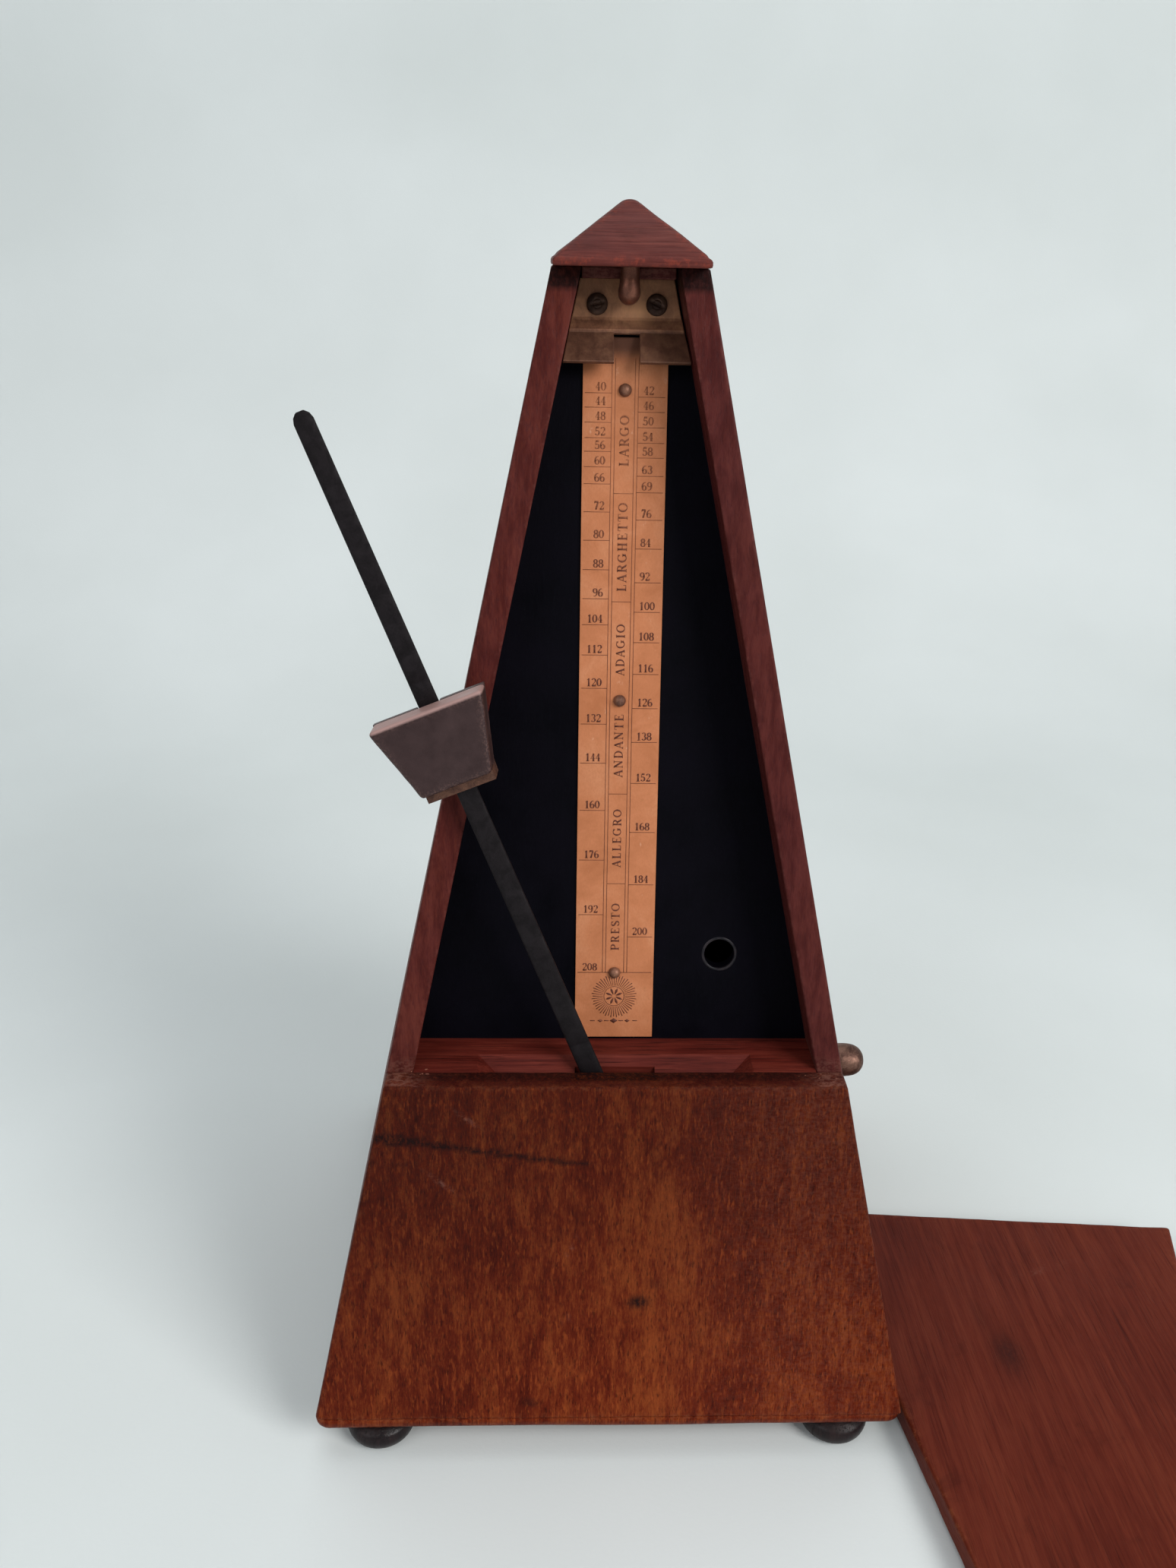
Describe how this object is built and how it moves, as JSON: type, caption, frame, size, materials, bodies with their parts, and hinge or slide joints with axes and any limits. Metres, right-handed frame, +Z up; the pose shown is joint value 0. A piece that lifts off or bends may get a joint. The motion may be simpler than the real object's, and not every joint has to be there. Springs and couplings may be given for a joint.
{
  "type": "metronome",
  "caption": "Clockwork metronome in a tapered wooden case with a swinging pendulum, sliding weight, tempo scale and removable front cover.",
  "frame": {"origin": "centre of the case's footprint, at the level of the surface it stands on", "axes": "+X to the right, +Y to the back, +Z up, seen from the front"},
  "size_m": [0.1936, 0.1981, 0.226],
  "materials": {
    "case_wood": "worn shellac varnish on reddish brown wood",
    "cap_wood": "worn varnish",
    "shelf_wood": "oiled, unpolished",
    "door_wood": "worn satin varnish",
    "foot_wood": "black-brown stained, turned",
    "board_navy": "dull navy-black paint",
    "card_paper": "aged tan printed card",
    "aged_brass": "brown patina",
    "movement_brass": "satin",
    "bell_bronze": "turned",
    "blued_steel": "blued screws",
    "spring_steel": "oiled spring steel",
    "arbor_steel": "turned",
    "rod_steel": "dark oxidised, with tempo notches",
    "weight_paint": "dark grey lacquer, worn edges"
  },
  "bodies": {
    "case": {"back_panel": "case_wood", "base_board": "case_wood", "bell": "bell_bronze", "bell_nut": "movement_brass", "bell_post": "arbor_steel", "bracket_screws": "blued_steel", "cap": "cap_wood", "escape_cock": "movement_brass", "foot_front_left": "foot_wood", "foot_front_right": "foot_wood", "foot_rear_left": "foot_wood", "foot_rear_right": "foot_wood", "foot_screws": "blued_steel", "front_panel": "case_wood", "left_side": "case_wood", "mainspring": "spring_steel", "pillar_screws": "blued_steel", "plate_left": "movement_brass", "plate_pillars": "movement_brass", "plate_right": "movement_brass", "right_side": "case_wood", "scale_board": "board_navy", "scale_card": "card_paper", "scale_pins": "aged_brass", "seat_brackets": "movement_brass", "seat_screws": "blued_steel", "shelf": "shelf_wood", "top_bracket": "aged_brass", "verge_front_cock": "movement_brass", "verge_rear_cock": "movement_brass", "winding_bush": "aged_brass"},
    "door": {"door": "door_wood"},
    "latch": {"door_latch": "aged_brass"},
    "winding": {"winding_arbor": "arbor_steel", "ratchet_wheel": "arbor_steel"},
    "great": {"great_wheel": "movement_brass", "click_screw": "blued_steel", "click_spring": "blued_steel", "bell_cam": "movement_brass"},
    "click": {"click": "arbor_steel"},
    "second": {"second_arbor": "arbor_steel", "second_wheel": "movement_brass"},
    "escape": {"escape_arbor": "arbor_steel", "crown_wheel": "movement_brass"},
    "pendulum": {"verge_arbor": "arbor_steel", "pendulum_rod": "rod_steel", "counterweight": "movement_brass", "counterweight_screw": "blued_steel"},
    "weight": {"sliding_weight": "weight_paint", "weight_clip": "aged_brass"},
    "hammer": {"bell_hammer": "arbor_steel"},
    "selector": {"selector_rod": "arbor_steel", "selector_knob": "aged_brass"}
  },
  "joints": [
    {"name": "door_slide", "type": "slide", "parent": "case", "child": "door", "axis": [1, 0, 0], "range_m": [0, 0.06]},
    {"name": "latch_turn", "type": "hinge", "parent": "case", "child": "latch", "pos_m": [0, -0.0056, 0.212], "axis": [0, 0, 1], "range_deg": [0, 180]},
    {"name": "winding_turn", "type": "hinge", "parent": "case", "child": "winding", "pos_m": [0, 0.008, 0.039], "axis": [1, 0, 0], "continuous": true},
    {"name": "great_turn", "type": "hinge", "parent": "case", "child": "great", "pos_m": [0, 0.008, 0.039], "axis": [1, 0, 0], "continuous": true},
    {"name": "click_lift", "type": "hinge", "parent": "great", "child": "click", "pos_m": [0.0046, -0.00033, 0.04603], "axis": [1, 0, 0], "range_deg": [0, 8], "deforming": ["click_spring"]},
    {"name": "second_turn", "type": "hinge", "parent": "case", "child": "second", "pos_m": [0, -0.0044, 0.0548], "axis": [1, 0, 0], "continuous": true},
    {"name": "escape_turn", "type": "hinge", "parent": "case", "child": "escape", "pos_m": [0, -0.014, 0.0644], "axis": [1, 0, 0], "continuous": true},
    {"name": "pendulum_swing", "type": "hinge", "parent": "case", "child": "pendulum", "pos_m": [0, -0.0362, 0.0644], "axis": [0, 1, 0], "range_deg": [-4, 49]},
    {"name": "weight_slide", "type": "slide", "parent": "pendulum", "child": "weight", "axis": [-0.3809, 0.0958, 0.9196], "range_m": [-0.052, 0.048]},
    {"name": "hammer_swing", "type": "hinge", "parent": "case", "child": "hammer", "pos_m": [0, 0.027, 0.054], "axis": [1, 0, 0], "range_deg": [0, 15]},
    {"name": "selector_pull", "type": "slide", "parent": "case", "child": "selector", "axis": [1, 0, 0], "range_m": [0, 0.0044]}
  ],
  "couplings": [
    {"joint": "second_turn", "follows": "escape_turn", "ratio": -0.13333},
    {"joint": "great_turn", "follows": "escape_turn", "ratio": 0.014815},
    {"joint": "winding_turn", "follows": "escape_turn", "ratio": 0.014815}
  ]
}
